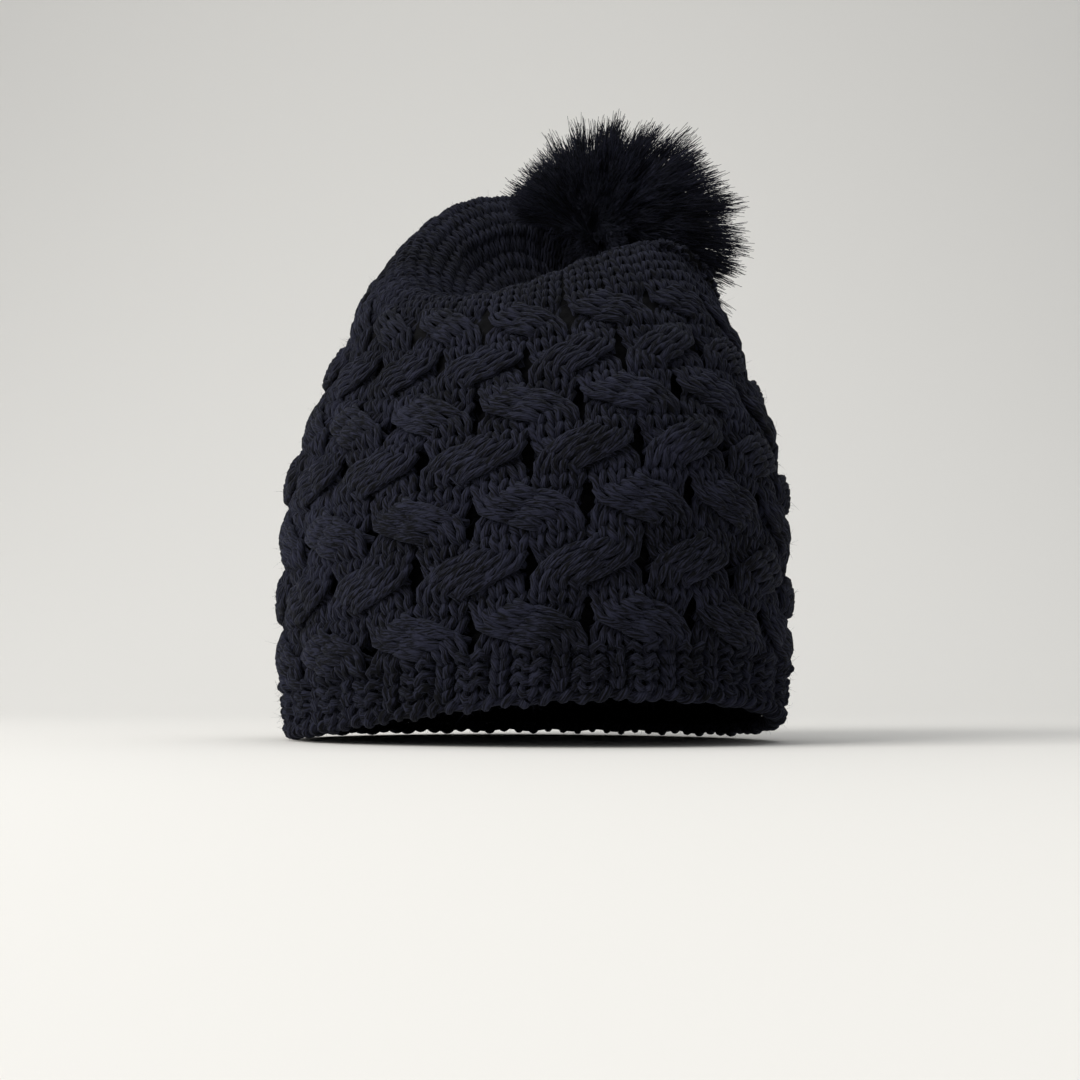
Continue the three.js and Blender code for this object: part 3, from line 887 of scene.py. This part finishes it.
def tying_pieces():
    seam = back_seam()
    ring_centre = centre_of("crown_gather_yarn")
    ring_low, ring_high = box_mm("crown_gather_yarn")
    ring_radius = (ring_high - ring_low)[0] / 2 - GATHER_YARN_RADIUS
    anchor_low, anchor_high = box_mm("inner_anchor_yarn")
    anchor_top = np.array([GATHER[0], GATHER[1], anchor_high[2]])
    anchor_bottom = np.array([GATHER[0], GATHER[1], anchor_low[2]])
    anchor_line = straight(anchor_top, anchor_bottom, points=40)
    gather_line = ring_line(ring_centre, ring_radius, [0, 0, 1], turns=1.05, points=120)
    inner_knot_line = knot_line(centre_of("anchor_knot"), size=4.4, points=240)
    outer_knot_line = knot_line(GATHER, size=2.6, points=200)
    attachment_line = straight(GATHER + POLE * KNOT_REACH, POM_TIE - POLE * TIE_REACH, points=60)
    tie_line = ring_line(POM_TIE, 3.2, POLE, turns=3, points=200, rise=1.6)
    anchor = plied(anchor_line, radius=1.25, turns=5)
    gather = plied(gather_line, radius=1.25, turns=12)
    anchor_knot = plied(inner_knot_line, radius=1.4, turns=22)
    small_knot = plied(outer_knot_line, radius=0.95, turns=18)
    attachment = plied(attachment_line, radius=1.3, turns=6)
    tie = plied(tie_line, radius=0.9, turns=24)
    rows = [
        ("seam_yarn", seam, "hat", "back_seam_yarn"),
        ("gathering_yarn", gather, "hat", "crown_gather_yarn"),
        ("anchor_yarn", anchor, "hat", "inner_anchor_yarn"),
        ("inner_knot", anchor_knot, "hat", "anchor_knot"),
        ("outer_knot", small_knot, "pom_knot", "attachment_knot"),
        ("pom_holding_yarn", attachment, "pom_pom", "attachment_yarn"),
        ("pom_tie", tie, "pom_pom", "pom_tie_cord"),
    ]
    for name, parts, body, node in rows:
        shown(mesh_object(name, *parts), body, TYING_YARN, [node])


# ---- Floor, light and camera ----
def backdrop():
    """A pale floor that curves up into a wall behind."""
    start, bend = 0.7, 2.0  # the floor's flat part behind the hat, and the curve's radius
    turns = np.linspace(0, math.pi / 2, 25)
    curve = [(start + bend * math.sin(a), bend * (1 - math.cos(a))) for a in turns]
    depth_line = [(-3.0, 0), *curve, (start + bend, 6)]
    half_width = 6
    vertices = []
    for along, z in depth_line:
        for side in (-half_width, half_width):
            flat = CAMERA_AHEAD * along + CAMERA_SIDE * side
            vertices.append((flat[0], flat[1], z))
    faces = [(2 * i, 2 * i + 1, 2 * i + 3, 2 * i + 2) for i in range(len(depth_line) - 1)]
    mesh = bpy.data.meshes.new("backdrop")
    mesh.from_pydata(vertices, [], faces)
    for polygon in mesh.polygons:
        polygon.use_smooth = True
    made = bpy.data.objects.new("backdrop", mesh)
    bpy.context.scene.collection.objects.link(made)
    material = bpy.data.materials.new("backdrop")
    material.use_nodes = True
    shader = material.node_tree.nodes["Principled BSDF"]
    shader.inputs["Base Color"].default_value = (0.80, 0.785, 0.75, 1)
    shader.inputs["Roughness"].default_value = 0.9
    mesh.materials.append(material)


def area_light(name, place, target, size, power, colour):
    data = bpy.data.lights.new(name, "AREA")
    data.size = size
    data.energy = power
    data.color = colour
    light = bpy.data.objects.new(name, data)
    light.location = place
    direction = Vector(target) - Vector(place)
    light.rotation_euler = direction.to_track_quat("-Z", "Y").to_euler()
    bpy.context.scene.collection.objects.link(light)


def lights():
    world = bpy.data.worlds.new("studio")
    world.use_nodes = True
    background = world.node_tree.nodes["Background"]
    background.inputs["Color"].default_value = (0.95, 0.97, 1.0, 1)
    background.inputs["Strength"].default_value = 0.4
    bpy.context.scene.world = world
    middle = (0, 0, 0.11)
    window = -1.3 * CAMERA_SIDE - 0.9 * CAMERA_AHEAD + np.array([0, 0, 1.1])
    area_light("window", window, middle, size=1.4, power=34, colour=(1.0, 0.985, 0.96))
    top = 0.1 * CAMERA_AHEAD + np.array([0, 0, 1.9])
    area_light("ceiling", top, middle, size=1.8, power=11, colour=(0.98, 0.99, 1.0))
    behind = 0.9 * CAMERA_AHEAD + np.array([0, 0, 1.7])
    wall = 2.7 * CAMERA_AHEAD + np.array([0, 0, 1.0])
    area_light("wall_wash", behind, wall, size=1.5, power=6, colour=(1.0, 1.0, 1.0))


CAMERA_PLACE = {"ahead": -0.75, "side": 0.0044, "height": 0.020}
CAMERA_PITCH = math.atan2(0.0587, 0.75)
CAMERA_LENS = 63.5


def camera():
    bpy.context.scene.view_settings.view_transform = "Standard"
    data = bpy.data.cameras.new("camera")
    data.lens = CAMERA_LENS
    data.sensor_width = 36
    data.clip_start = 0.01
    made = bpy.data.objects.new("camera", data)
    place = CAMERA_AHEAD * CAMERA_PLACE["ahead"] + CAMERA_SIDE * CAMERA_PLACE["side"]
    made.location = (place[0], place[1], CAMERA_PLACE["height"])
    made.rotation_euler = (math.pi / 2 + CAMERA_PITCH, 0, CAMERA_AZIMUTH)
    bpy.context.scene.collection.objects.link(made)
    bpy.context.scene.camera = made


def build():
    knitted = knitting()
    inside_of_knitting()
    edge = cast_on_edge()
    for piece in knitted:
        fuzz_on(piece, piece.name.replace("knitted", "fuzz"), FUZZ_PER_BAND)
    fuzz_on(edge, "fuzz_cast_on", FUZZ_ON_EDGE)
    pom_strands()
    tying_pieces()
    backdrop()
    lights()
    camera()


build()


def size_note():
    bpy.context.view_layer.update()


size_note()
